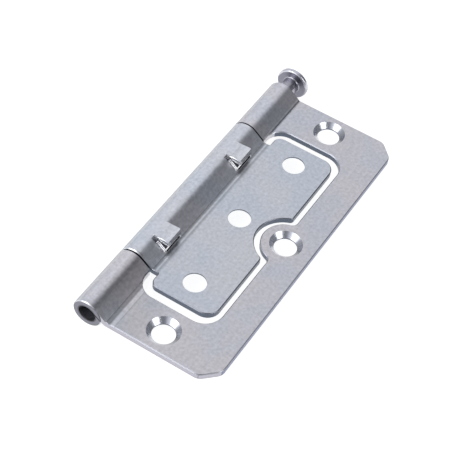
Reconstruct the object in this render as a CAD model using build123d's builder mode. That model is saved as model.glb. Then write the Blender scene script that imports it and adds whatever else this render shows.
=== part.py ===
# Non-mortise hinge: two nested sheet leaves on one loose pin.
# Frame: Y runs along the pin, X across the leaves, Z up. The origin is the middle of the pin axis.
# All sizes are in millimetres and degrees.
import os
from math import cos, radians, sin, tan
from build123d import *

os.makedirs("parts", exist_ok=True)

# Sheet, pin and the roll that wraps the pin
hinge_length = 100.0
sheet = 1.8
pin_d = 5.0
pin_play = 0.08
neck_slope = 38.0
bend_inside_r = 0.3
roll_gap = 0.3
edge_break = 0.25

# Outer leaf
outer_reach = 38.6
corner_cut = 4.5
shoulder_r = 3.0

# Inner leaf, and the slot that is left between the two leaves
end_band = 13.7
inner_reach = 27.5
inner_corner_r = 4.0
ear_setback = 8.0
ear_width = 4.45
ear_r = 2.2
ear_root_r = 0.6
notch_corner_r = 1.2
side_slot = 1.8
end_slot = 3.0
window_near = 5.7
window_near_r = 5.0
bump_root_r = 2.0

# End play of the long middle knuckle between the two end ones, and where it stands in that play
end_play = 0.9
leaf_drift = 0.25

# Screw holes, the same size in both leaves
hole_d = 6.5
sink_d = 9.3
sink_angle = 90.0
outer_end_hole_x = 19.5
outer_end_margin = 6.5
outer_mid_hole_x = 30.4
mid_hole_margin = 2.45
inner_end_hole_x = 17.5
inner_end_margin = 7.3
inner_mid_hole_x = 15.4

# Locating lugs lanced out of the neck of the inner leaf
lug_end_margin = 10.55
lug_width = 5.8
lug_tip_x = 6.2
lug_rise = 0.2
lug_gap_near = 1.0
lug_gap_far = 0.3
lug_slot_start = 1.2
lug_slot_end = 5.5
lug_corner_r = 0.5
slot_lip = 0.5

# Coined line along the inside of each bend
coin_depth = 0.12
coin_width = 0.45
wide_coin_width = 1.4

# Pin
pin_shortfall = 1.0
pin_drawn_out = 5.2
head_d = 10.0
head_t = 1.7
head_round = 0.6
head_bevel = 0.5
head_root_r = 0.5
tip_chamfer = 0.8

# Sizes that follow from the ones above
half_length = hinge_length / 2
bore_r = pin_d / 2 + pin_play
roll_r = bore_r + sheet / 2
barrel_r = bore_r + sheet
cut_height = 2 * barrel_r
neck_foot = roll_r / sin(radians(neck_slope))
bend_r = bend_inside_r + sheet / 2
flat_start = neck_foot + bend_r * tan(radians(neck_slope / 2))
window_far = inner_reach + side_slot
window_width = hinge_length - 2 * end_band
inner_width = window_width - 2 * end_slot
window_far_r = inner_corner_r + side_slot
centre_knuckle = inner_width - 2 * ear_width
knuckle_window = centre_knuckle + end_play
outer_end_hole_pitch = hinge_length - 2 * outer_end_margin
inner_end_hole_pitch = inner_width - 2 * inner_end_margin
lug_pitch = centre_knuckle - 2 * lug_end_margin
lug_slot_width = lug_gap_near + lug_width + lug_gap_far
lug_slot_shift = (lug_gap_far - lug_gap_near) / 2
pin_under_head = hinge_length - pin_shortfall
bump_r = sink_d / 2 + mid_hole_margin
notch_r = bump_r + side_slot
drifted = Plane((0, leaf_drift, 0))
slot_align = (Align.MIN, Align.CENTER, Align.MIN)
head_seat = half_length + pin_drawn_out


def rolled_sheet(reach):
    """Side view of one leaf: flat web, sloping neck, and the roll that closes under the neck."""
    neck_top = (roll_r * sin(radians(neck_slope)), roll_r * cos(radians(neck_slope)))
    with BuildSketch() as section:
        Circle(barrel_r)
        Circle(bore_r, mode=Mode.SUBTRACT)
        with PolarLocations(bore_r - roll_gap, 1, start_angle=90 - neck_slope):
            Rectangle(barrel_r, cut_height, align=(Align.MIN, Align.CENTER), mode=Mode.SUBTRACT)
        with BuildLine():
            FilletPolyline((reach, 0), (neck_foot, 0), neck_top, radius=bend_r)
            CenterArc((0, 0), roll_r, 90 - neck_slope, 90 + neck_slope)
        trace(line_width=sheet)
    return section.sketch


def neck_edge(walls):
    """The edge that a cut across the neck leaves in the neck's upper face."""
    down_the_neck = Axis((0, 0, 0), (cos(radians(neck_slope)), 0, -sin(radians(neck_slope))))
    return walls.edges().filter_by(down_the_neck).sort_by(Axis.Z)[-1]


def coin_line(width, middle):
    """Presses a shallow line into the web along the inside of the bend."""
    with Locations((flat_start, middle, sheet / 2 - coin_depth)):
        Box(width, half_length, 2 * coin_depth, align=slot_align, mode=Mode.SUBTRACT)


def upper_rim(leaf):
    """Edges round the upper face of a leaf's flat web, without its holes and its bend."""
    web = leaf.faces().filter_by(Axis.Z).sort_by(SortBy.AREA)[-2:].sort_by(Axis.Z)[-1]
    rim_start = flat_start + edge_break / 2
    return web.outer_wire().edges().filter_by_position(Axis.X, rim_start, outer_reach)


# Outer leaf: a frame with a window, two end knuckles and three holes sunk from above
with BuildPart() as outer_leaf:
    with BuildSketch(Plane.XZ):
        add(rolled_sheet(outer_reach))
    extrude(amount=half_length, both=True)

    # Blunted free corners
    with BuildSketch() as blank:
        with Locations((outer_reach, 0)):
            Rectangle(outer_reach + cut_height, hinge_length, align=(Align.MAX, Align.CENTER))
        far_corners = blank.vertices().group_by(Axis.X)[-1]
        chamfer(far_corners, length=corner_cut)
        shoulders = blank.vertices().group_by(Axis.X)[1:]
        fillet([corner for pair in shoulders for corner in pair], radius=shoulder_r)
    extrude(amount=cut_height, both=True, mode=Mode.INTERSECT)

    # Window for the inner leaf, with the bump that carries the middle hole
    with BuildSketch() as window:
        with Locations((window_near, 0)):
            Rectangle(window_far - window_near, window_width, align=(Align.MIN, Align.CENTER))
        fillet(window.vertices().group_by(Axis.X)[0], radius=window_near_r)
        fillet(window.vertices().group_by(Axis.X)[-1], radius=window_far_r)
        with Locations((outer_mid_hole_x, 0)):
            Circle(bump_r, mode=Mode.SUBTRACT)
        bump_root = window.vertices().group_by(Axis.X)[-1].sort_by(lambda v: abs(v.Y))[:2]
        fillet(bump_root, radius=bump_root_r)
        with Locations((window_near + window_near_r, 0)):
            Rectangle(cut_height * 2, knuckle_window, align=(Align.MAX, Align.CENTER))
    extrude(amount=cut_height, both=True, mode=Mode.SUBTRACT)

    # Screw holes
    end_holes = [(outer_end_hole_x, side * outer_end_hole_pitch / 2) for side in (-1, 1)]
    with Locations(*[(x, y, sheet / 2) for x, y in end_holes + [(outer_mid_hole_x, 0)]]):
        CounterSinkHole(hole_d / 2, sink_d / 2, counter_sink_angle=sink_angle)

    chamfer(upper_rim(outer_leaf), length=edge_break)
    coin_line(wide_coin_width, -half_length / 2)
    coin_line(coin_width, half_length / 2)
outer_leaf.part.label = "outer_leaf"
export_step(outer_leaf.part, "parts/outer_leaf.step")

# Inner leaf: a plate that nests in the window, one long knuckle, and holes sunk from below
with BuildPart() as inner_leaf:
    with BuildSketch(Plane.XZ.offset(-leaf_drift)):
        add(rolled_sheet(inner_reach))
    extrude(amount=inner_width / 2, both=True)

    # Eared plate with the notch that clears the bump of the outer leaf
    with BuildSketch(drifted) as plate:
        with Locations((ear_setback, 0)):
            Rectangle(inner_reach - ear_setback, inner_width, align=(Align.MIN, Align.CENTER))
        fillet(plate.vertices().group_by(Axis.X)[0], radius=ear_r)
        fillet(plate.vertices().group_by(Axis.X)[-1], radius=inner_corner_r)
        with Locations((outer_mid_hole_x, 0)):
            Circle(notch_r, mode=Mode.SUBTRACT)
        notch_corners = plate.vertices().group_by(Axis.X)[-1].sort_by(lambda v: abs(v.Y))[:2]
        fillet(notch_corners, radius=notch_corner_r)
        with Locations((ear_setback + ear_r, 0)):
            Rectangle(cut_height * 2, centre_knuckle, align=(Align.MAX, Align.CENTER))
        ear_roots = plate.vertices().group_by(Axis.X)[1].sort_by(lambda v: abs(v.Y - leaf_drift))[:2]
        fillet(ear_roots, radius=ear_root_r)
    extrude(amount=cut_height, both=True, mode=Mode.INTERSECT)

    # Slots cut through the neck, with a lug left standing level in each
    slot_middles = [leaf_drift + lug_slot_shift + side * lug_pitch / 2 for side in (-1, 1)]
    with Locations(*[(lug_slot_start, y, -sheet / 2) for y in slot_middles]):
        Box(lug_slot_end - lug_slot_start, lug_slot_width, cut_height, align=slot_align, mode=Mode.SUBTRACT)
    near_walls = inner_leaf.faces(Select.LAST).filter_by(Axis.Y).group_by(Axis.Y)[::2]
    chamfer([neck_edge(walls) for walls in near_walls], length=slot_lip)
    for side in (-1, 1):
        with BuildSketch(Plane.XZ.offset(-leaf_drift - side * lug_pitch / 2)):
            with BuildLine():
                TangentArc((0, roll_r), (lug_tip_x, roll_r + lug_rise), tangent=(1, 0))
            trace(line_width=sheet)
        extrude(amount=lug_width / 2, both=True)
        lug_tip = inner_leaf.faces(Select.LAST).sort_by(Axis.X)[-1]
        fillet(lug_tip.edges(), radius=lug_corner_r)

    # Screw holes
    end_holes = [(inner_end_hole_x, side * inner_end_hole_pitch / 2) for side in (-1, 1)]
    for x, y in end_holes + [(inner_mid_hole_x, 0)]:
        with Locations(Plane((x, leaf_drift + y, -sheet / 2), z_dir=(0, 0, -1))):
            CounterSinkHole(hole_d / 2, sink_d / 2, counter_sink_angle=sink_angle)

    chamfer(upper_rim(inner_leaf), length=edge_break)
    for side in (-1, 1):
        coin_line(coin_width, side * half_length / 2)
inner_leaf.part.label = "inner_leaf"
export_step(inner_leaf.part, "parts/inner_leaf.step")

# Loose pin: turned round, with a flat round head, drawn part of the way out of the barrel
with BuildPart() as hinge_pin:
    with BuildSketch() as half_section:
        with BuildLine():
            Polyline(
                (0, head_seat - pin_under_head),
                (pin_d / 2, head_seat - pin_under_head),
                (pin_d / 2, head_seat),
                (head_d / 2, head_seat),
                (head_d / 2, head_seat + head_t),
                (0, head_seat + head_t),
                close=True,
            )
        make_face()
        head_root = half_section.vertices().group_by(Axis.X)[1].sort_by(Axis.Y)[-1]
        fillet(head_root, radius=head_root_r)
        tip = half_section.vertices().group_by(Axis.Y)[0].sort_by(Axis.X)[-1]
        chamfer(tip, length=tip_chamfer)
        head_top_rim = half_section.vertices().group_by(Axis.X)[-1].sort_by(Axis.Y)[-1]
        chamfer(head_top_rim, length=head_bevel)
        head_under_rim = half_section.vertices().group_by(Axis.X)[-1].sort_by(Axis.Y)[0]
        fillet(head_under_rim, radius=head_round)
    revolve(axis=Axis.Y)
hinge_pin.part.label = "hinge_pin"
export_step(hinge_pin.part, "parts/hinge_pin.step")
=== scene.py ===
# %% [markdown]
# # A non-mortise hinge, dressed for its picture
#
# The hinge is three pieces of bright zinc-plated steel: an outer leaf, an inner leaf that nests in its
# window, and a loose pin. Their shapes come ready from the frame, so this lesson is about what makes plain
# steel look real: where the camera stands, what the metal has round it to reflect, and the small unevenness
# of a plated surface.

# %% Load the frame
from math import cos, pi, radians, sin
import bmesh
import bpy
from mathutils import Matrix, Vector


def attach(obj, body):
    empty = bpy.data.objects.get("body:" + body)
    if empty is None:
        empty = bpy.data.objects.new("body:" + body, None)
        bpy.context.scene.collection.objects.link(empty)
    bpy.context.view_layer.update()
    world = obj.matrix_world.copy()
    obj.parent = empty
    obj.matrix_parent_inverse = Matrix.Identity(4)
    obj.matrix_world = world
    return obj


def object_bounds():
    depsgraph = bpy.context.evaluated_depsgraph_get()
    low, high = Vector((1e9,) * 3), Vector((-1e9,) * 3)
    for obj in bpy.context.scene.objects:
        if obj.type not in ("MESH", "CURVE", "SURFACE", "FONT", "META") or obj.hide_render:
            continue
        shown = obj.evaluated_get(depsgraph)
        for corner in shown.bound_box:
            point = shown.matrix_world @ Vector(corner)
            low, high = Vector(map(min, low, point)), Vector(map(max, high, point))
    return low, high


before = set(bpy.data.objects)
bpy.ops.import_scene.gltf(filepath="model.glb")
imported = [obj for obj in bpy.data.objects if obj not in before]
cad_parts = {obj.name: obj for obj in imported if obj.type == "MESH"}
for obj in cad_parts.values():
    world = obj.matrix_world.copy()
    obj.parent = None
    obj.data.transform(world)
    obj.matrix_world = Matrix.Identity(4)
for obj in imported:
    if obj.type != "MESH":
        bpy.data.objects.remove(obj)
cad_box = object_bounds()
MM = 0.001
print("nodes:", sorted(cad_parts))
print("hinge is", [round((high - low) / MM, 1) for low, high in zip(*cad_box)], "mm")

# %% [markdown]
# ## Camera
#
# The hinge lies flat, and the camera looks down on it from the front right with a long lens. An empty to
# look at and a Track To constraint would also aim it, but a camera that leans to one side needs its roll as
# well. So its three axes are worked out from the angles, and set as the columns of one matrix.

# %% Work out where the camera stands
IMAGE_SIDE = 460
camera_azimuth = radians(25.62)
camera_elevation = radians(49.74)
camera_roll = radians(8.16)
camera_distance = 389.7 * MM
focal_pixels = 1434.4
aim = Vector((16.96, -5.63, 0.9)) * MM
aim_pixel = Vector((233.2, 234.2))

back = Vector((
    sin(camera_azimuth) * cos(camera_elevation),
    -cos(camera_azimuth) * cos(camera_elevation),
    sin(camera_elevation),
))
level_right = Vector((cos(camera_azimuth), sin(camera_azimuth), 0))
right = level_right * cos(camera_roll) + back.cross(level_right) * sin(camera_roll)
up = back.cross(right)
pixel = camera_distance / focal_pixels
off_centre = (aim_pixel - Vector((IMAGE_SIDE / 2, IMAGE_SIDE / 2))) * pixel
centre = aim - right * off_centre.x + up * off_centre.y
print("camera looks at", [round(value / MM, 1) for value in centre], "mm")

# %% Place the camera
SENSOR = 36.0
CLIP = (0.01, 10.0)

camera_data = bpy.data.cameras.new("photo_camera")
camera_data.sensor_width = SENSOR
camera_data.lens = focal_pixels / IMAGE_SIDE * SENSOR
camera_data.clip_start, camera_data.clip_end = CLIP
camera = bpy.data.objects.new("photo_camera", camera_data)
bpy.context.collection.objects.link(camera)
camera.matrix_world = Matrix((right, up, back)).transposed().to_4x4()
camera.location = centre + back * camera_distance
bpy.context.scene.camera = camera
print("lens", round(camera_data.lens, 1), "mm")

# %% [markdown]
# ## Node helpers
#
# Every material below is a small tree of nodes. They could be wired one by one, but a few helpers keep the
# cells short. The first adds a node and fills or links its inputs. The others do sums, stretch a value from
# one range to another, and blend two colours.

# %% Add nodes to a tree
def add_node(tree, kind, inputs=(), **settings):
    """A node of one kind, with some settings, whose inputs are values or other nodes' outputs."""
    node = tree.nodes.new(kind)
    for name, value in settings.items():
        setattr(node, name, value)
    for key, value in dict(inputs).items():
        if isinstance(value, bpy.types.NodeSocket):
            tree.links.new(value, node.inputs[key])
        else:
            node.inputs[key].default_value = value
    return node


def math_node(tree, operation, *values):
    """The result of a Math node."""
    return add_node(tree, "ShaderNodeMath", dict(enumerate(values)), operation=operation).outputs[0]


def remap(tree, value, old_low, old_high, new_low, new_high, smooth=True):
    """A value stretched from one range to another, and held at its ends."""
    kind = "SMOOTHSTEP" if smooth else "LINEAR"
    ranges = {
        "Value": value,
        "From Min": old_low,
        "From Max": old_high,
        "To Min": new_low,
        "To Max": new_high,
    }
    return add_node(tree, "ShaderNodeMapRange", ranges, interpolation_type=kind).outputs["Result"]


def blend_colours(tree, share, first, second):
    """A colour between two others."""
    mix = add_node(tree, "ShaderNodeMix", data_type="RGBA")
    for socket, value in (("Factor_Float", share), ("A_Color", first), ("B_Color", second)):
        target = next(s for s in mix.inputs if s.identifier == socket)
        if isinstance(value, bpy.types.NodeSocket):
            tree.links.new(value, target)
        else:
            target.default_value = value
    return next(s for s in mix.outputs if s.identifier == "Result_Color")


# %% [markdown]
# ## Floor
#
# The hinge lies on a plain white sheet that runs out of sight. A floor that is only a pale colour turns
# light grey under soft light, so a little of its whiteness is given back to the camera and to the metal's
# reflections by a weak glow, through the Light Path node. The rest stays plain diffuse white, which keeps
# the hinge's soft shadow.

# %% Lay the floor
FLOOR_SIDE = 8.0

bpy.ops.object.select_all(action="DESELECT")
bpy.ops.mesh.primitive_plane_add(size=FLOOR_SIDE, location=(0, 0, cad_box[0].z))
floor = bpy.context.object
floor.name = "floor_sheet"
print("floor at", round(cad_box[0].z / MM, 2), "mm")

# %% Make the floor white paper
FLOOR_WHITE = (0.42, 0.42, 0.42, 1.0)
FLOOR_GLOW = 0.82

paper = bpy.data.materials.new("floor_paper")
paper.use_nodes = True
tree = paper.node_tree
tree.nodes.clear()
path = add_node(tree, "ShaderNodeLightPath")
seen = math_node(tree, "MAXIMUM", path.outputs["Is Camera Ray"], path.outputs["Is Glossy Ray"])
seen = math_node(tree, "MAXIMUM", seen, path.outputs["Is Transmission Ray"])
strength = math_node(tree, "MULTIPLY", seen, FLOOR_GLOW)
glow = add_node(tree, "ShaderNodeEmission", {"Strength": strength})
matte = add_node(tree, "ShaderNodeBsdfDiffuse", {"Color": FLOOR_WHITE})
both = add_node(tree, "ShaderNodeAddShader", {0: glow.outputs[0], 1: matte.outputs[0]})
add_node(tree, "ShaderNodeOutputMaterial", {"Surface": both.outputs[0]})
floor.data.materials.append(paper)
print(floor.name, "wears", paper.name)

# %% [markdown]
# ## What the metal reflects
#
# Polished metal has no colour of its own to show: it is a dim mirror of the room. The flat leaves mirror
# the bright wall behind on the left, while the sloping necks mirror a dark corner behind on the right, and
# that is why they look so much darker. The room is painted on the world by direction: bright up on the
# left, dark on the right and low down.

# %% Paint the room
ROOM_BRIGHT = (0.83, 0.85, 0.90, 1.0)
ROOM_DARK = (0.195, 0.20, 0.22, 1.0)
DARK_FROM_X, BRIGHT_FROM_X = 0.42, 0.02
LOW_Z, HIGH_Z = -0.05, 0.30
LOW_SHARE = 0.25

room = bpy.data.worlds.new("studio_room")
room.use_nodes = True
bpy.context.scene.world = room
tree = room.node_tree
tree.nodes.clear()
direction = add_node(tree, "ShaderNodeTexCoord").outputs["Generated"]
axes = add_node(tree, "ShaderNodeSeparateXYZ", {"Vector": direction})
leftness = remap(tree, axes.outputs["X"], DARK_FROM_X, BRIGHT_FROM_X, 0.0, 1.0)
height = remap(tree, axes.outputs["Z"], LOW_Z, HIGH_Z, LOW_SHARE, 1.0)
brightness = math_node(tree, "MULTIPLY", leftness, height)
colour = blend_colours(tree, brightness, ROOM_DARK, ROOM_BRIGHT)
background = add_node(tree, "ShaderNodeBackground", {"Color": colour, "Strength": 1.0})
add_node(tree, "ShaderNodeOutputWorld", {"Surface": background.outputs[0]})
print("room is painted with", len(tree.nodes), "nodes")

# %% [markdown]
# ## Lamps
#
# Two large soft boxes stand in front, one each side of the camera. They give the white flashes in the
# countersinks and along the broken edges, with the dark gap between them where the camera stands. Area
# lamps suit this, because they show up in the metal as clean panels. A point lamp would show as a hard dot.

# %% Hang the soft boxes
BOX_DISTANCE = 0.9
BOX_RADIANCE = 2.6


def soft_box(name, towards, side):
    """A square lamp that faces the hinge from one direction, equally bright per area whatever its side."""
    lamp = bpy.data.lights.new(name, "AREA")
    lamp.size = side
    lamp.energy = BOX_RADIANCE * pi * side * side
    holder = bpy.data.objects.new(name, lamp)
    bpy.context.collection.objects.link(holder)
    holder.location = aim + Vector(towards).normalized() * BOX_DISTANCE
    holder.rotation_euler = Vector(towards).to_track_quat("Z", "Y").to_euler()


soft_box("box_front_left", towards=(-0.50, -0.68, 0.54), side=0.62)
soft_box("box_right", towards=(0.84, -0.10, 0.52), side=0.50)

# %% [markdown]
# ## Zinc on pressed sheet
#
# The plating is a thin skin of tiny crystals, passivated to a faint blue. It is metal through and through,
# so the Principled shader is fully metallic, and the eye reads the finish from how rough it is. A clean
# uniform value would look like plastic chrome. So the colour drifts in large soft patches, a fine mottle
# breaks the reflections, and faint long streaks run with the pin, the way the sheet was rolled.

# %% Draw grain
PATCH_SIZE = 18 * MM
MOTTLE_SIZE = 0.9 * MM
STREAK_SIZE = 0.5 * MM
STREAK_STRETCH = 16
STREAK_SHARE = 0.25


def grain(tree, place, size, detail, stretch=1):
    """Cloudy noise from 0 to 1, with grains of one size in metres that are stretched along the pin."""
    scale = (1 / size, 1 / (size * stretch), 1 / size)
    scaled = add_node(tree, "ShaderNodeMapping", {"Vector": place, "Scale": scale})
    cloud = {"Vector": scaled.outputs[0], "Scale": 1.0, "Detail": detail}
    return add_node(tree, "ShaderNodeTexNoise", cloud).outputs["Fac"]


def scale_colour(tree, colour, factor):
    """A colour made brighter or darker by a factor."""
    inputs = {0: colour, "Scale": factor}
    return add_node(tree, "ShaderNodeVectorMath", inputs, operation="SCALE").outputs[0]


# %% Mix the zinc finish
PATCH_RANGE = (0.35, 0.65)
UNEVEN_RANGE = (0.3, 0.7)
SHADE_RANGE = (0.86, 1.14)


class Finish:
    """A plated steel finish in the making: its material and tree, and the colour and roughness so far."""

    def __init__(self, name, cool, warm, rough_range, bump_height):
        self.material = bpy.data.materials.new(name)
        self.material.use_nodes = True
        self.tree = tree = self.material.node_tree
        tree.nodes.clear()
        where = add_node(tree, "ShaderNodeTexCoord")
        self.place = where.outputs["Object"]
        self.facing = where.outputs["Normal"]
        patches = grain(tree, self.place, PATCH_SIZE, detail=3.0)
        mottle = grain(tree, self.place, MOTTLE_SIZE, detail=2.0)
        streaks = grain(tree, self.place, STREAK_SIZE, detail=2.0, stretch=STREAK_STRETCH)
        streaky = math_node(tree, "MULTIPLY", streaks, STREAK_SHARE)
        uneven = math_node(tree, "MULTIPLY_ADD", mottle, 1 - STREAK_SHARE, streaky)
        tinted = blend_colours(tree, remap(tree, patches, *PATCH_RANGE, 0.0, 1.0), cool, warm)
        mottling = remap(tree, uneven, *UNEVEN_RANGE, *SHADE_RANGE, smooth=False)
        self.colour = scale_colour(tree, tinted, mottling)
        self.rough = remap(tree, uneven, *UNEVEN_RANGE, *rough_range, smooth=False)
        relief = {"Height": mottle, "Strength": 1.0, "Distance": bump_height}
        self.bump = add_node(tree, "ShaderNodeBump", relief).outputs[0]

    def coat(self, share, colour, rough):
        """Lays another colour and roughness over part of the surface."""
        self.colour = blend_colours(self.tree, share, self.colour, colour)
        self.rough = remap(self.tree, share, 0.0, 1.0, self.rough, rough, smooth=False)

    def shade(self, share, factor):
        """Brightens or darkens part of the surface by a factor."""
        change = math_node(self.tree, "SUBTRACT", factor, 1.0)
        whole = math_node(self.tree, "MULTIPLY_ADD", share, change, 1.0)
        self.colour = scale_colour(self.tree, self.colour, whole)

    def close(self):
        """Wires the finish to its shader."""
        look = {"Base Color": self.colour, "Metallic": 1.0, "Roughness": self.rough, "Normal": self.bump}
        shader = add_node(self.tree, "ShaderNodeBsdfPrincipled", look)
        add_node(self.tree, "ShaderNodeOutputMaterial", {"Surface": shader.outputs[0]})
        return self.material


# %% [markdown]
# ## Three finishes for three pieces
#
# Both leaves come from the same sheet, but each was plated on its own hook, so the inner one is a touch
# bluer. The pin is drawn wire with a headed end: smoother and darker than the sheet. One finish for all
# three would be simpler, but then nothing would tell the pieces apart where they touch.

# %% Mix a finish for each piece
OUTER_COOL, OUTER_WARM = (0.565, 0.58, 0.62, 1.0), (0.625, 0.595, 0.61, 1.0)
INNER_COOL, INNER_WARM = (0.57, 0.605, 0.655, 1.0), (0.62, 0.62, 0.645, 1.0)
PIN_COOL, PIN_WARM = (0.36, 0.365, 0.41, 1.0), (0.42, 0.41, 0.45, 1.0)
SHEET_ROUGH = (0.30, 0.36)
WIRE_ROUGH = (0.22, 0.32)
ZINC_BUMP = 0.002 * MM

outer_finish = Finish("zinc_outer_leaf", OUTER_COOL, OUTER_WARM, SHEET_ROUGH, ZINC_BUMP)
inner_finish = Finish("zinc_inner_leaf", INNER_COOL, INNER_WARM, SHEET_ROUGH, ZINC_BUMP)
pin_finish = Finish("zinc_pin", PIN_COOL, PIN_WARM, WIRE_ROUGH, ZINC_BUMP)
print("nodes in each finish:", [len(f.tree.nodes) for f in (outer_finish, inner_finish, pin_finish)])

# %% [markdown]
# ## Masks
#
# One leaf doesn't look the same all over, but its mesh has no separate materials for its walls, slots and
# cones. Painting them by hand would need a window, so masks find them by where a point lies and which way
# it faces. A mask is 1 on its part of the surface and 0 elsewhere.

# %% Combine masks
def above(tree, value, limit):
    """1 where a value is over a limit, else 0."""
    return math_node(tree, "GREATER_THAN", value, limit)


def without(tree, share):
    """One minus a share."""
    return math_node(tree, "SUBTRACT", 1.0, share)


def either(tree, *shares):
    """The largest of some shares."""
    result = shares[0]
    for share in shares[1:]:
        result = math_node(tree, "MAXIMUM", result, share)
    return result


def all_of(tree, *shares):
    """The product of some shares."""
    result = shares[0]
    for share in shares[1:]:
        result = math_node(tree, "MULTIPLY", result, share)
    return result


def between(tree, value, low, high):
    """1 where a value is over one limit and not over another, else 0."""
    return all_of(tree, above(tree, value, low), without(tree, above(tree, value, high)))


# %% [markdown]
# ## Shade that follows a line
#
# Some marks change along a line, as across a bend. A colour ramp draws that with few points. It holds
# values up to 1 only, so each factor is halved in it and doubled after it.

# %% Follow a line of factors
RAMP_TOP = 2.0


def profile(tree, value, points):
    """A factor that follows a value through (value, factor) points, with straight lines between them."""
    low, high = points[0][0], points[-1][0]
    along = remap(tree, value, low, high, 0.0, 1.0, smooth=False)
    ramp = add_node(tree, "ShaderNodeValToRGB", {"Fac": along})
    stops = ramp.color_ramp.elements
    for where, _ in points[1:-1]:
        stops.new((where - low) / (high - low))
    for stop, (_, factor) in zip(stops, points):
        grey = factor / RAMP_TOP
        stop.color = (grey, grey, grey, 1.0)
    return math_node(tree, "MULTIPLY", ramp.outputs["Color"], RAMP_TOP)


def in_metres(points):
    """Points whose places are given in millimetres."""
    return [(where * MM, factor) for where, factor in points]


# %% [markdown]
# ## Parts of a leaf
#
# A wall has a normal that lies level, and a cone or a broken edge one that leans at 45 degrees. The outside
# is what lies near the rim of the leaf, the web is all that lies past the bend, and the lugs are on the
# neck near the middle. Both leaves are the same on either side of their middle, so the distance along the
# pin counts without its sign. Round the barrel, the distance from the axis of the pin counts.

# %% Find the parts of a leaf
def from_axis(finish):
    """The distance from the axis of the pin."""
    flatten = {0: finish.place, 1: (1.0, 0.0, 1.0)}
    across = add_node(finish.tree, "ShaderNodeVectorMath", flatten, operation="MULTIPLY")
    length = add_node(finish.tree, "ShaderNodeVectorMath", {0: across.outputs[0]}, operation="LENGTH")
    return length.outputs["Value"]


RIM_REACH = cad_box[1].x - 0.2 * MM
RIM_HALF = 49.8 * MM
RIM_CORNER = 83.8 * MM
BEND_END = 6.6 * MM
LUG_SPAN = 28.0 * MM
STRAIGHT = 0.9
UPRIGHT = 0.3
LEANING = (0.6, 0.8)


class Leaf:
    """A leaf's finish, with masks for its parts and the places and directions that they are made from."""

    def __init__(self, finish):
        self.finish = finish
        self.tree = tree = finish.tree
        at = add_node(tree, "ShaderNodeSeparateXYZ", {"Vector": finish.place}).outputs
        facing = add_node(tree, "ShaderNodeSeparateXYZ", {"Vector": finish.facing}).outputs
        self.x, self.along_pin, self.z = at["X"], at["Y"], at["Z"]
        self.y = math_node(tree, "ABSOLUTE", self.along_pin)
        self.facing_x, self.facing_z = facing["X"], facing["Z"]
        self.radius = from_axis(finish)
        tilt = math_node(tree, "ABSOLUTE", facing["Z"])
        self.end_wall = above(tree, math_node(tree, "ABSOLUTE", facing["Y"]), STRAIGHT)
        self.on_web = above(tree, self.x, BEND_END)
        web_wall = all_of(tree, self.on_web, without(tree, above(tree, tilt, UPRIGHT)))
        self.wall = either(tree, self.end_wall, web_wall)
        self.outside = either(
            tree,
            above(tree, self.x, RIM_REACH),
            above(tree, self.y, RIM_HALF),
            above(tree, math_node(tree, "ADD", self.x, self.y), RIM_CORNER),
        )
        within_lugs = without(tree, above(tree, self.y, LUG_SPAN))
        self.lug = all_of(tree, without(tree, self.on_web), within_lugs)
        self.leaning = all_of(tree, self.on_web, between(tree, tilt, *LEANING))


outer, inner = Leaf(outer_finish), Leaf(inner_finish)
leaves = (outer, inner)
print("nodes with masks:", [len(leaf.tree.nodes) for leaf in leaves])

# %% [markdown]
# ## Sheared walls
#
# The press tore the walls as it cut the sheet, so they are duller than the rolled faces, and a little darker
# at the bottom, where the metal broke away. The long far edge faces the dark end of the room, and that dark
# reflection is painted on it as a darker colour. The walls inside the narrow slot and the holes get painted
# shade, nearly black.

# %% Dull the sheared walls and paint their shade and reflection
SHEET = 1.8 * MM
WALL_OUTSIDE = (0.46, 0.45, 0.50, 1.0)
WALL_BOTTOM = (0.42, 0.41, 0.46, 1.0)
WALL_FAR_PAINTED_REFLECTION = (0.21, 0.23, 0.34, 1.0)
WALL_INSIDE_PAINTED_SHADE = (0.12, 0.14, 0.18, 1.0)
WALL_ROUGH = 0.34
WALL_INSIDE_ROUGH = 0.30


def dull_walls_and_paint_shade(leaf):
    """Dulls the sheared walls of a leaf, paints a dark reflection on its far wall and paints shade inside
    its slots and holes.
    """
    finish, tree = leaf.finish, leaf.tree
    torn = remap(tree, leaf.z, -SHEET / 2, 0.0, 1.0, 0.0)
    torn_colour = blend_colours(tree, all_of(tree, torn, leaf.on_web), WALL_OUTSIDE, WALL_BOTTOM)
    outer_wall = all_of(tree, leaf.wall, leaf.outside)
    inner_wall_painted_shade = all_of(tree, leaf.wall, without(tree, leaf.outside), without(tree, leaf.lug))
    far_wall_painted_reflection = all_of(tree, outer_wall, above(tree, leaf.facing_x, STRAIGHT))
    finish.coat(outer_wall, torn_colour, WALL_ROUGH)
    # Painted shade: the walls inside the slots and holes are painted nearly black.
    finish.coat(inner_wall_painted_shade, WALL_INSIDE_PAINTED_SHADE, WALL_INSIDE_ROUGH)
    # Painted reflection: the far wall is painted darker for the dark end of the room that it faces.
    finish.coat(far_wall_painted_reflection, WALL_FAR_PAINTED_REFLECTION, WALL_ROUGH)


for leaf in leaves:
    dull_walls_and_paint_shade(leaf)
print("nodes with walls:", [len(leaf.tree.nodes) for leaf in leaves])

# %% [markdown]
# ## Ends of the barrel
#
# The cut end of each outer knuckle is a ring, painted grey as painted shade that dims the white floor it
# mirrors. Its rims are broken, inside and outside, and look like dark lines. They are too fine for a bevel
# to show, so they are painted shade that changes with the distance from the pin, and a dark band of painted
# shade by the bore stands for its flared mouth.

# %% Paint shade on the rings at the ends of the barrel
RING_REACH = 4.45 * MM
RING_PAINTED_SHADE = (0.21, 0.21, 0.245, 1.0)
RING_RIMS_PAINTED_SHADE = ((2.5, 0.40), (2.85, 0.45), (3.0, 1.0), (4.0, 1.0), (4.15, 0.30), (4.4, 0.25))


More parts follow.
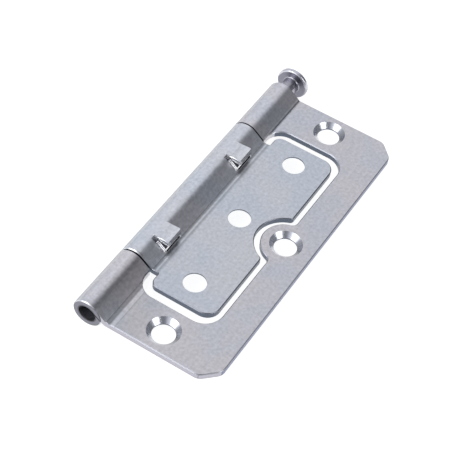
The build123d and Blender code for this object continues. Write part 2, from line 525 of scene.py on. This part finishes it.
def paint_shade_on_rings(leaf):
    """Paints shade on the rings at the ends of the barrel: greys them and paints their rims dark."""
    finish, tree = leaf.finish, leaf.tree
    near_pin = without(tree, above(tree, leaf.radius, RING_REACH))
    ring = all_of(tree, leaf.end_wall, leaf.outside, near_pin)
    # Painted shade: the ring is painted grey, and its rims and the mouth of the bore painted dark.
    finish.coat(ring, RING_PAINTED_SHADE, WALL_ROUGH)
    finish.shade(ring, profile(tree, leaf.radius, in_metres(RING_RIMS_PAINTED_SHADE)))


for leaf in leaves:
    paint_shade_on_rings(leaf)
print("nodes with rings:", [len(leaf.tree.nodes) for leaf in leaves])

# %% [markdown]
# ## Lugs
#
# The tool rubbed the sides of the lugs bright as it lanced them, and a painted highlight makes them brighter
# still. The end of the slot under each lug's tip sees no light at all, so it gets a painted shadow, nearly
# black.

# %% Paint a highlight on the lugs' sides and a shadow under them
LUG_MIDDLE = 18.3 * MM
LUG_HALF = 3.3 * MM
LUG_BOTTOM = 2.2 * MM
SLOT_END = (5.4 * MM, 5.85 * MM)
LUG_SIDE = (0.95, 0.95, 0.98, 1.0)
LUG_SIDE_ROUGH = 0.65
UNDER_LUG_PAINTED_SHADOW = (0.03, 0.03, 0.04, 1.0)
UNDER_LUG_ROUGH = 0.40


def paint_lug_highlights_and_shadows(leaf):
    """Paints a highlight on the rubbed sides of the lugs and a shadow at the end of the slot under each."""
    finish, tree = leaf.finish, leaf.tree
    up_high = above(tree, leaf.z, LUG_BOTTOM)
    from_lug = math_node(tree, "ABSOLUTE", math_node(tree, "SUBTRACT", leaf.y, LUG_MIDDLE))
    painted_shadow_under_lug = all_of(
        tree,
        between(tree, leaf.x, *SLOT_END),
        without(tree, above(tree, from_lug, LUG_HALF)),
        without(tree, up_high),
    )
    # Painted highlight on the rubbed sides of the lugs.
    finish.coat(all_of(tree, leaf.end_wall, leaf.lug, up_high), LUG_SIDE, LUG_SIDE_ROUGH)
    # Painted shadow at the end of the slot under each lug's tip.
    finish.coat(painted_shadow_under_lug, UNDER_LUG_PAINTED_SHADOW, UNDER_LUG_ROUGH)


for leaf in leaves:
    paint_lug_highlights_and_shadows(leaf)
print("nodes with lugs:", [len(leaf.tree.nodes) for leaf in leaves])

# %% [markdown]
# ## Countersinks and worn edges
#
# The countersinks are turned and shine. The side of each that faces the right-hand lamp gets a painted
# highlight, and the side away from it painted shade. A mask by direction alone would catch the broken edges
# of the leaf too, since both lean at 45 degrees. So the cones are told apart by their distance from the
# middle of a hole, and the rest is edge, with painted shade along it, darker on the inner leaf.

# %% Shine the countersinks and paint light and shade on them and on the edges
SINKS = ((19.5 * MM, 43.5 * MM), (30.4 * MM, 0.0), (17.5 * MM, 26.0 * MM), (15.4 * MM, 0.0))
SINK_REACH = 4.9 * MM
CONE_BRIGHT = (0.62, 0.63, 0.68, 1.0)
CONE_ROUGH = 0.26
CONE_SIDES_PAINTED_LIGHT = ((-0.75, 0.40), (-0.35, 0.65), (0.0, 1.0), (0.75, 1.1))
OUTER_EDGE_PAINTED_SHADE = (0.40, 0.41, 0.45, 1.0)
INNER_EDGE_PAINTED_SHADE = (0.25, 0.26, 0.30, 1.0)
EDGE_ROUGH = 0.42


def shine_cones(leaf, edge_painted_shade):
    """Brightens the countersinks of a leaf, paints light and shade on their sides, and paints shade on its
    broken edges.
    """
    finish, tree = leaf.finish, leaf.tree
    flat_place = add_node(tree, "ShaderNodeCombineXYZ", {"X": leaf.x, "Y": leaf.y}).outputs[0]
    near_holes = []
    for sink in SINKS:
        ends = {0: flat_place, 1: (*sink, 0.0)}
        away = add_node(tree, "ShaderNodeVectorMath", ends, operation="DISTANCE").outputs["Value"]
        near_holes.append(without(tree, above(tree, away, SINK_REACH)))
    sunk = either(tree, *near_holes)
    cone = all_of(tree, leaf.leaning, sunk)
    finish.coat(cone, CONE_BRIGHT, CONE_ROUGH)
    # Painted light and shade: the side of a cone that faces the right-hand lamp is brighter, the other
    # darker.
    finish.shade(cone, profile(tree, leaf.facing_x, CONE_SIDES_PAINTED_LIGHT))
    # Painted shade along the broken edges.
    finish.coat(all_of(tree, leaf.leaning, without(tree, sunk)), edge_painted_shade, EDGE_ROUGH)


shine_cones(outer, OUTER_EDGE_PAINTED_SHADE)
shine_cones(inner, INNER_EDGE_PAINTED_SHADE)
print("nodes with cones:", [len(leaf.tree.nodes) for leaf in leaves])

# %% [markdown]
# ## Press marks along the bends, painted as light and shade
#
# Where the sheet was folded up to the barrel, the press left lines that run the whole length of each bend.
# They are only a few tenths of a millimetre deep, so their light and shade are painted across the bend:
# painted shade in the crease at the foot, a painted highlight line and the painted shade of a faint groove.
# The neck and the web beside them are painted lighter or darker too. The tool struck each knuckle by
# itself, and so each has its own marks.

# %% Paint shade and highlights across the bends
ROLL_END = 2.6 * MM
TOP_FACING = 0.7
CREASE_PAINTED_SHADE = 0.46
PAINTED_HIGHLIGHT_LINE = 1.0
# Painted light and shade across each bend, as (millimetres from the pin, factor).
INNER_BEND = (
    (2.5, 1.0),
    (5.85, 1.25),
    (6.0, CREASE_PAINTED_SHADE),
    (6.5, CREASE_PAINTED_SHADE),
    (7.0, PAINTED_HIGHLIGHT_LINE),
    (7.5, 0.62),
    (8.2, 1.0),
)
LOWER_BEND = (
    (2.5, 0.80),
    (5.85, 1.12),
    (6.0, CREASE_PAINTED_SHADE),
    (7.0, CREASE_PAINTED_SHADE),
    (7.4, PAINTED_HIGHLIGHT_LINE),
    (8.3, PAINTED_HIGHLIGHT_LINE),
    (8.55, 0.68),
    (8.8, 0.88),
    (13.0, 0.88),
    (18.0, 1.0),
)
UPPER_BEND = ((2.5, 1.05), (5.15, 1.10), (5.4, 1.55), (5.8, CREASE_PAINTED_SHADE), (6.0, 1.0))


def shade_bends(leaf, lower_bend, upper_bend):
    """Paints shade and highlights on a leaf across its bends, one way below the middle of the hinge and one
    above.
    """
    tree = leaf.tree
    upper_half = above(tree, leaf.along_pin, 0.0)
    on_top = all_of(tree, above(tree, leaf.facing_z, TOP_FACING), above(tree, leaf.x, ROLL_END))
    for half, bend in ((without(tree, upper_half), lower_bend), (upper_half, upper_bend)):
        leaf.finish.shade(all_of(tree, on_top, half), profile(tree, leaf.x, in_metres(bend)))


shade_bends(outer, LOWER_BEND, UPPER_BEND)
shade_bends(inner, INNER_BEND, INNER_BEND)
print("nodes with bends:", [len(leaf.tree.nodes) for leaf in leaves])

# %% [markdown]
# ## Painted shade on the roll and the headed pin
#
# The roll is painted darker the further it turns away from the top, most of all on the lower knuckle:
# painted shade for the light that falls off round it. The pin's head was formed by a die. Its rim gets a
# painted highlight and its underside painted shade.

# %% Paint shade on the roll
ROLL_PAINTED_SHADE = ((-1.0, 0.50), (-0.85, 0.56), (-0.5, 1.12), (0.1, 1.12), (0.6, 1.0))
LOWER_ROLL_PAINTED_SHADE = ((0.0, 1.0), (0.45, 0.64), (0.62, 0.70))


def paint_roll_shade(leaf):
    """Paints shade on the roll of a leaf by which way it faces, and more on its lower end than on the rest.
    """
    finish, tree = leaf.finish, leaf.tree
    roll = all_of(tree, without(tree, leaf.end_wall), without(tree, above(tree, leaf.x, ROLL_END)))
    finish.shade(roll, profile(tree, leaf.facing_x, ROLL_PAINTED_SHADE))
    lower_end = without(tree, above(tree, leaf.along_pin, -LUG_SPAN))
    finish.shade(all_of(tree, roll, lower_end), profile(tree, leaf.facing_x, LOWER_ROLL_PAINTED_SHADE))


for leaf in leaves:
    paint_roll_shade(leaf)
print("nodes with rolls:", [len(leaf.tree.nodes) for leaf in leaves])

# %% Shade the pin's head
HEAD_RIM = 4.45 * MM
HEAD_RIM_FACING = 0.1
HEAD_RIM_PAINTED_HIGHLIGHT = (0.62, 0.62, 0.67, 1.0)
HEAD_UNDER_PAINTED_SHADE = (0.25, 0.25, 0.295, 1.0)
HEAD_ROUGH = 0.30


def shade_head(finish):
    """Paints shade on the underside of the pin's head and a highlight on its rim."""
    tree = finish.tree
    facing = add_node(tree, "ShaderNodeSeparateXYZ", {"Vector": finish.facing}).outputs
    underside = above(tree, math_node(tree, "MULTIPLY", facing["Y"], -1.0), STRAIGHT)
    # Painted shade on the underside of the head.
    finish.coat(underside, HEAD_UNDER_PAINTED_SHADE, HEAD_ROUGH)
    far_out = above(tree, from_axis(finish), HEAD_RIM)
    rim = all_of(tree, far_out, above(tree, facing["Z"], HEAD_RIM_FACING))
    # Painted highlight on the rim of the head.
    finish.coat(rim, HEAD_RIM_PAINTED_HIGHLIGHT, HEAD_ROUGH)


shade_head(pin_finish)
print("nodes in the pin's finish:", len(pin_finish.tree.nodes))

# %% [markdown]
# ## Plating
#
# The finishes are done, so each is wired to its shader and goes into the slot of its own piece.

# %% Plate the three pieces
finishes = {"outer_leaf": outer_finish, "inner_leaf": inner_finish, "hinge_pin": pin_finish}
for node_name, finish in finishes.items():
    material = finish.close()
    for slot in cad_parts[node_name].material_slots:
        slot.material = material
    print(node_name, "wears", material.name)

# %% [markdown]
# ## Shaping small pieces on the neck
#
# The press left fine marks round the lug slots that stand out of the neck, and the next cells model them.
# Each starts from a primitive on the slope of the neck. These helpers draw an end out in edit mode, round a
# piece by subdividing it, put its place into its mesh and let it ride on the inner leaf. A mark that is on
# both slots is modelled once and copied along the pin.

# %% Helpers for pieces on the neck
NECK_SLOPE = radians(38.0)
NECK_TOP = Vector((2.70, 0.0, 3.45)) * MM
FIRST_SLOT_EDGE = -21.95 * MM
SLOT_SPACING = 36.6 * MM
SMOOTH_ANGLE = radians(40.0)
ROUNDING_LEVELS = 2
LIP_COOL, LIP_WARM = (0.90, 0.91, 0.94, 1.0), (0.92, 0.92, 0.94, 1.0)
LIP_BUMP = 0.001 * MM

# The lips, burrs and sheared sides share this finish: burnished metal, painted far lighter than the sheet as
# a painted highlight.
lip_highlight_material = Finish("zinc_lip_painted_highlight", LIP_COOL, LIP_WARM, WIRE_ROUGH, LIP_BUMP).close()
down_slope = Vector((cos(NECK_SLOPE), 0, -sin(NECK_SLOPE)))
out_of_neck = Vector((sin(NECK_SLOPE), 0, cos(NECK_SLOPE)))


def draw_out(piece, end, offset, share, tip):
    """Extrudes, in edit mode, the bottom (-1) or top (1) of a cylinder, and narrows it at its tip."""
    bpy.ops.mesh.select_all(action="DESELECT")
    mesh = bmesh.from_edit_mesh(piece.data)
    end_face = max(mesh.faces, key=lambda face: face.calc_center_median().z * end)
    end_face.select_set(True)
    bmesh.update_edit_mesh(piece.data)
    bpy.ops.mesh.extrude_region()
    bpy.ops.transform.translate(value=offset)
    bpy.ops.transform.resize(value=(share, share, share), center_override=tip)


def round_off(piece):
    """Rounds a piece by subdividing it."""
    rounding = piece.modifiers.new("rounding", "SUBSURF")
    rounding.levels = rounding.render_levels = ROUNDING_LEVELS
    bpy.ops.object.modifier_apply(modifier=rounding.name)


def settle(name):
    """Puts the active piece's place into its mesh, smooths and names it, and lets it ride on the leaf."""
    piece = bpy.context.object
    bpy.ops.object.transform_apply(location=True, rotation=True, scale=True)
    bpy.ops.object.shade_smooth_by_angle(angle=SMOOTH_ANGLE)
    piece.name = name
    if not piece.data.materials:
        piece.data.materials.append(lip_highlight_material)
    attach(piece, "inner_leaf")
    print(name, "has", len(piece.data.polygons), "faces")
    return piece


def copy_along(piece, name, distance):
    """Copies a finished piece, with its own mesh, further along the pin."""
    bpy.ops.object.select_all(action="DESELECT")
    piece.select_set(True)
    bpy.context.view_layer.objects.active = piece
    bpy.ops.object.duplicate()
    bpy.context.object.location.y = distance
    settle(name)


# %% [markdown]
# ## Lips beside the lug slots
#
# When the press lanced each lug out of the neck, it drew the metal on one side of the slot up into two thin
# rounded lips. They catch the light as bright lines. A bevel along the slot would be too flat for that, so a
# lip is a slim cylinder, laid down the slope of the neck and sunk into it by a little more than half. A real
# lip rises out of the sheet and sinks back into it, so both its ends are extruded and scaled down to blunt
# tips.

# %% Draw one lip out of the neck and copy it
LIP_SIDES = 12
LIP_RADIUS = 0.30 * MM
LIP_LENGTH = 3.9 * MM
LIP_TIP = 0.5 * MM
LIP_TIP_SHARE = 0.5
LIP_SINK = 0.10 * MM
LIP_STEP = 0.52 * MM

lip_middle = NECK_TOP + down_slope * (LIP_LENGTH / 2) - out_of_neck * LIP_SINK
lip_middle.y = FIRST_SLOT_EDGE
bpy.ops.object.select_all(action="DESELECT")
bpy.ops.mesh.primitive_cylinder_add(
    vertices=LIP_SIDES,
    radius=LIP_RADIUS,
    depth=LIP_LENGTH - 2 * LIP_TIP,
    location=lip_middle,
    rotation=down_slope.to_track_quat("Z", "Y").to_euler(),
)
bpy.ops.object.mode_set(mode="EDIT")
for end in (-1, 1):
    lip_tip = lip_middle + down_slope * end * LIP_LENGTH / 2
    draw_out(bpy.context.object, end, down_slope * end * LIP_TIP, LIP_TIP_SHARE, lip_tip)
bpy.ops.object.mode_set(mode="OBJECT")
round_off(bpy.context.object)
first_lip = settle("slot_1_lip_1")
copy_along(first_lip, "slot_1_lip_2", LIP_STEP)
copy_along(first_lip, "slot_2_lip_1", SLOT_SPACING)
copy_along(first_lip, "slot_2_lip_2", SLOT_SPACING + LIP_STEP)

# %% [markdown]
# ## Burrs at the other end of the slots
#
# Where the tool broke through last, at the low corner on the far side of each slot, it left a burr: a speck
# of metal that stands up out of the neck. It is made as the lip is, from a stub of cylinder that stands on
# the slope, with its upper end drawn out and narrowed.

# %% Raise one burr and copy it
BURR_SIDES = 12
BURR_RADIUS = 0.32 * MM
BURR_BASE = 0.44 * MM
BURR_RISE = 0.14 * MM
BURR_TIP_SHARE = 0.6
SLOT_WIDTH = 7.1 * MM

burr_place = NECK_TOP + down_slope * LIP_LENGTH
burr_place.y = FIRST_SLOT_EDGE + SLOT_WIDTH
burr_tip = burr_place + out_of_neck * (BURR_BASE / 2 + BURR_RISE)
bpy.ops.object.select_all(action="DESELECT")
bpy.ops.mesh.primitive_cylinder_add(
    vertices=BURR_SIDES,
    radius=BURR_RADIUS,
    depth=BURR_BASE,
    location=burr_place,
    rotation=out_of_neck.to_track_quat("Z", "Y").to_euler(),
)
bpy.ops.object.mode_set(mode="EDIT")
draw_out(bpy.context.object, 1, out_of_neck * BURR_RISE, BURR_TIP_SHARE, burr_tip)
bpy.ops.object.mode_set(mode="OBJECT")
round_off(bpy.context.object)
first_burr = settle("slot_1_burr")
copy_along(first_burr, "slot_2_burr", SLOT_SPACING)

# %% [markdown]
# ## Burnished sides of the lugs
#
# The side of a lug that the tool sheared is rounded and burnished. A ball is pressed flat in edit mode, and
# a cut just inside the lug takes away the half that nobody sees and closes it. The rest lies on the lug's
# flat side as a pillow. The cut merges points closer than its threshold, which is a tenth of a millimetre
# unless a finer one is given, and that would tear a piece as thin as this.

# %% Round one lug's side and copy it
FIRST_LUG_SIDE = -20.95 * MM
SHEAR_PLACE = Vector((3.95, 0.0, 3.58)) * MM
SHEAR_SIZE = (2.2, 0.24, 0.78)
SHEAR_CUT = 0.12 * MM
CUT_TOLERANCE = 0.0001 * MM
BALL_SIDES, BALL_RINGS = 24, 12

shear_place = SHEAR_PLACE + Vector((0, FIRST_LUG_SIDE, 0))
bpy.ops.object.select_all(action="DESELECT")
bpy.ops.mesh.primitive_uv_sphere_add(
    segments=BALL_SIDES,
    ring_count=BALL_RINGS,
    radius=MM,
    location=shear_place,
)
bpy.ops.object.mode_set(mode="EDIT")
bpy.ops.mesh.select_all(action="SELECT")
bpy.ops.transform.resize(value=SHEAR_SIZE, center_override=shear_place)
bpy.ops.mesh.bisect(
    plane_co=shear_place + Vector((0, SHEAR_CUT, 0)),
    plane_no=(0, 1, 0),
    use_fill=True,
    clear_outer=True,
    threshold=CUT_TOLERANCE,
)
bpy.ops.mesh.select_all(action="SELECT")
bpy.ops.mesh.normals_make_consistent(inside=False)
bpy.ops.object.mode_set(mode="OBJECT")
first_side = settle("slot_1_sheared_side")
copy_along(first_side, "slot_2_sheared_side", SLOT_SPACING)

# %% [markdown]
# ## Finish
#
# The last step sets the colour view to Standard.

# %% Set the colour view
bpy.context.scene.view_settings.view_transform = "Standard"
